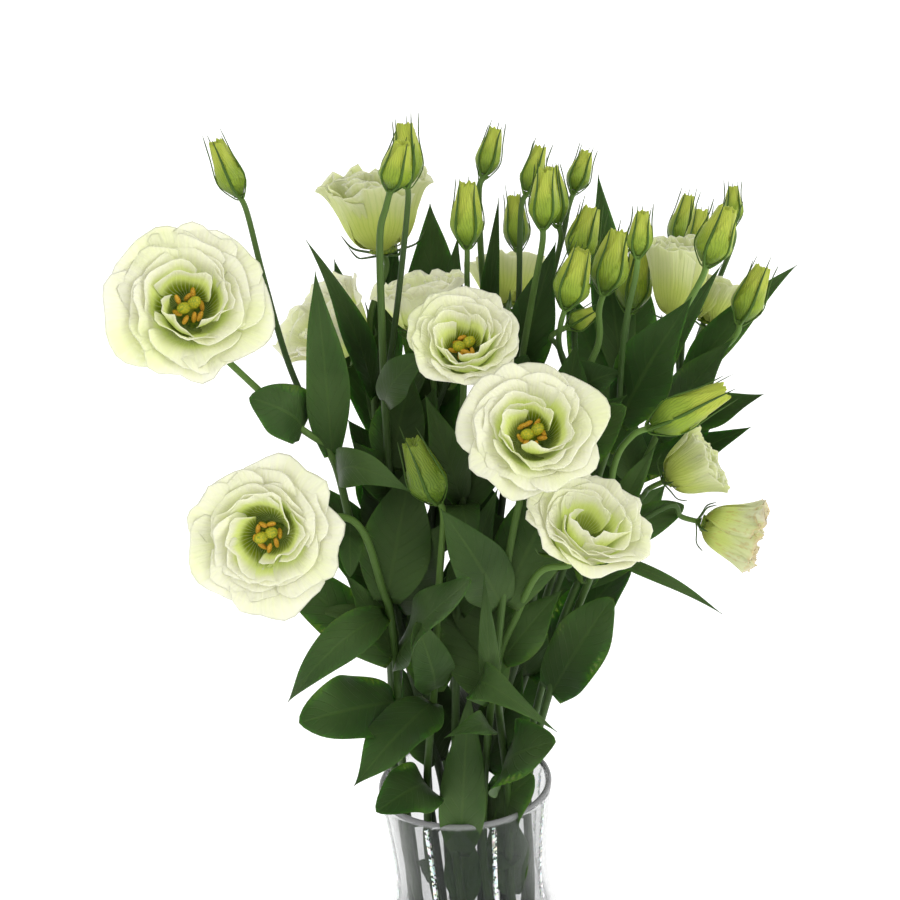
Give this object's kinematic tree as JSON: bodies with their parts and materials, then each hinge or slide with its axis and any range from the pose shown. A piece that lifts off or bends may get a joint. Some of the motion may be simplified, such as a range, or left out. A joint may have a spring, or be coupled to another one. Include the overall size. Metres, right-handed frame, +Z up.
{
  "type": "lisianthus bouquet in a glass vase",
  "caption": "Bunch of cut double lisianthus with cream white blooms, green buds and leafy stems, standing in a waisted clear glass vase with water.",
  "frame": {"origin": "centre of the vase's underside, on the surface it stands on", "axes": "+Z up, -Y towards the front of the bunch, +X to the right as seen from the front"},
  "size_m": [0.2927, 0.1915, 0.5439],
  "materials": {
    "glass": "clear polished glass",
    "water": "clear still water",
    "petal": "soft cream white petals with green throats",
    "bud": "satin yellow green",
    "heart": "powdery yellow",
    "leaf": "satin dark green leaf"
  },
  "bodies": {
    "root": {"vase": "glass", "water": "water", "bud_far_left": "bud", "bud_left_pair_front": "bud", "bud_left_pair_back": "bud", "bud_top_centre": "bud", "bud_centre_front": "bud", "bud_behind_centre": "bud", "bud_top_narrow": "bud", "bud_top_tall": "bud", "bud_top_hidden": "bud", "bud_top_small": "bud", "bud_upper_right": "bud", "bud_lower_pair_left": "bud", "bud_lower_pair_right": "bud", "bud_slender": "bud", "bud_plump": "bud", "bud_back_pointed": "bud", "bud_back_wide": "bud", "bud_right_front": "bud", "bud_right_far": "bud", "bud_far_right": "bud", "bud_sideways": "bud", "bud_low_front": "bud", "bud_small_inside": "bud", "bloom_upper_left": "petal", "bloom_lower_left": "petal", "bloom_middle": "petal", "bloom_large_front": "petal", "bloom_lower_right": "petal", "bloom_back_left": "petal", "bloom_behind_leaf": "petal", "bloom_cup_middle": "petal", "bloom_half_open_right": "petal", "bloom_back_right": "petal", "bloom_side_right": "petal", "bloom_wilted": "petal", "bloom_back_centre": "petal", "heart_upper_left": "heart", "heart_lower_left": "heart", "heart_middle": "heart", "heart_large_front": "heart", "leafy_stem_far_left": "leaf", "leafy_stem_lower_left": "leaf", "leafy_stem_back_left": "leaf", "leafy_stem_left_pair": "leaf", "leafy_stem_cup_middle": "leaf", "leafy_stem_middle": "leaf", "leafy_stem_back_centre": "leaf", "leafy_stem_large_front": "leaf", "leafy_stem_lower_right": "leaf", "leafy_stem_low_front": "leaf", "leafy_stem_top_right": "leaf", "leafy_stem_right_centre": "leaf", "leafy_stem_right_back": "leaf", "leafy_stem_right_front": "leaf", "leafy_stem_far_right": "leaf", "leafy_stem_right_side": "leaf"}
  },
  "joints": []
}
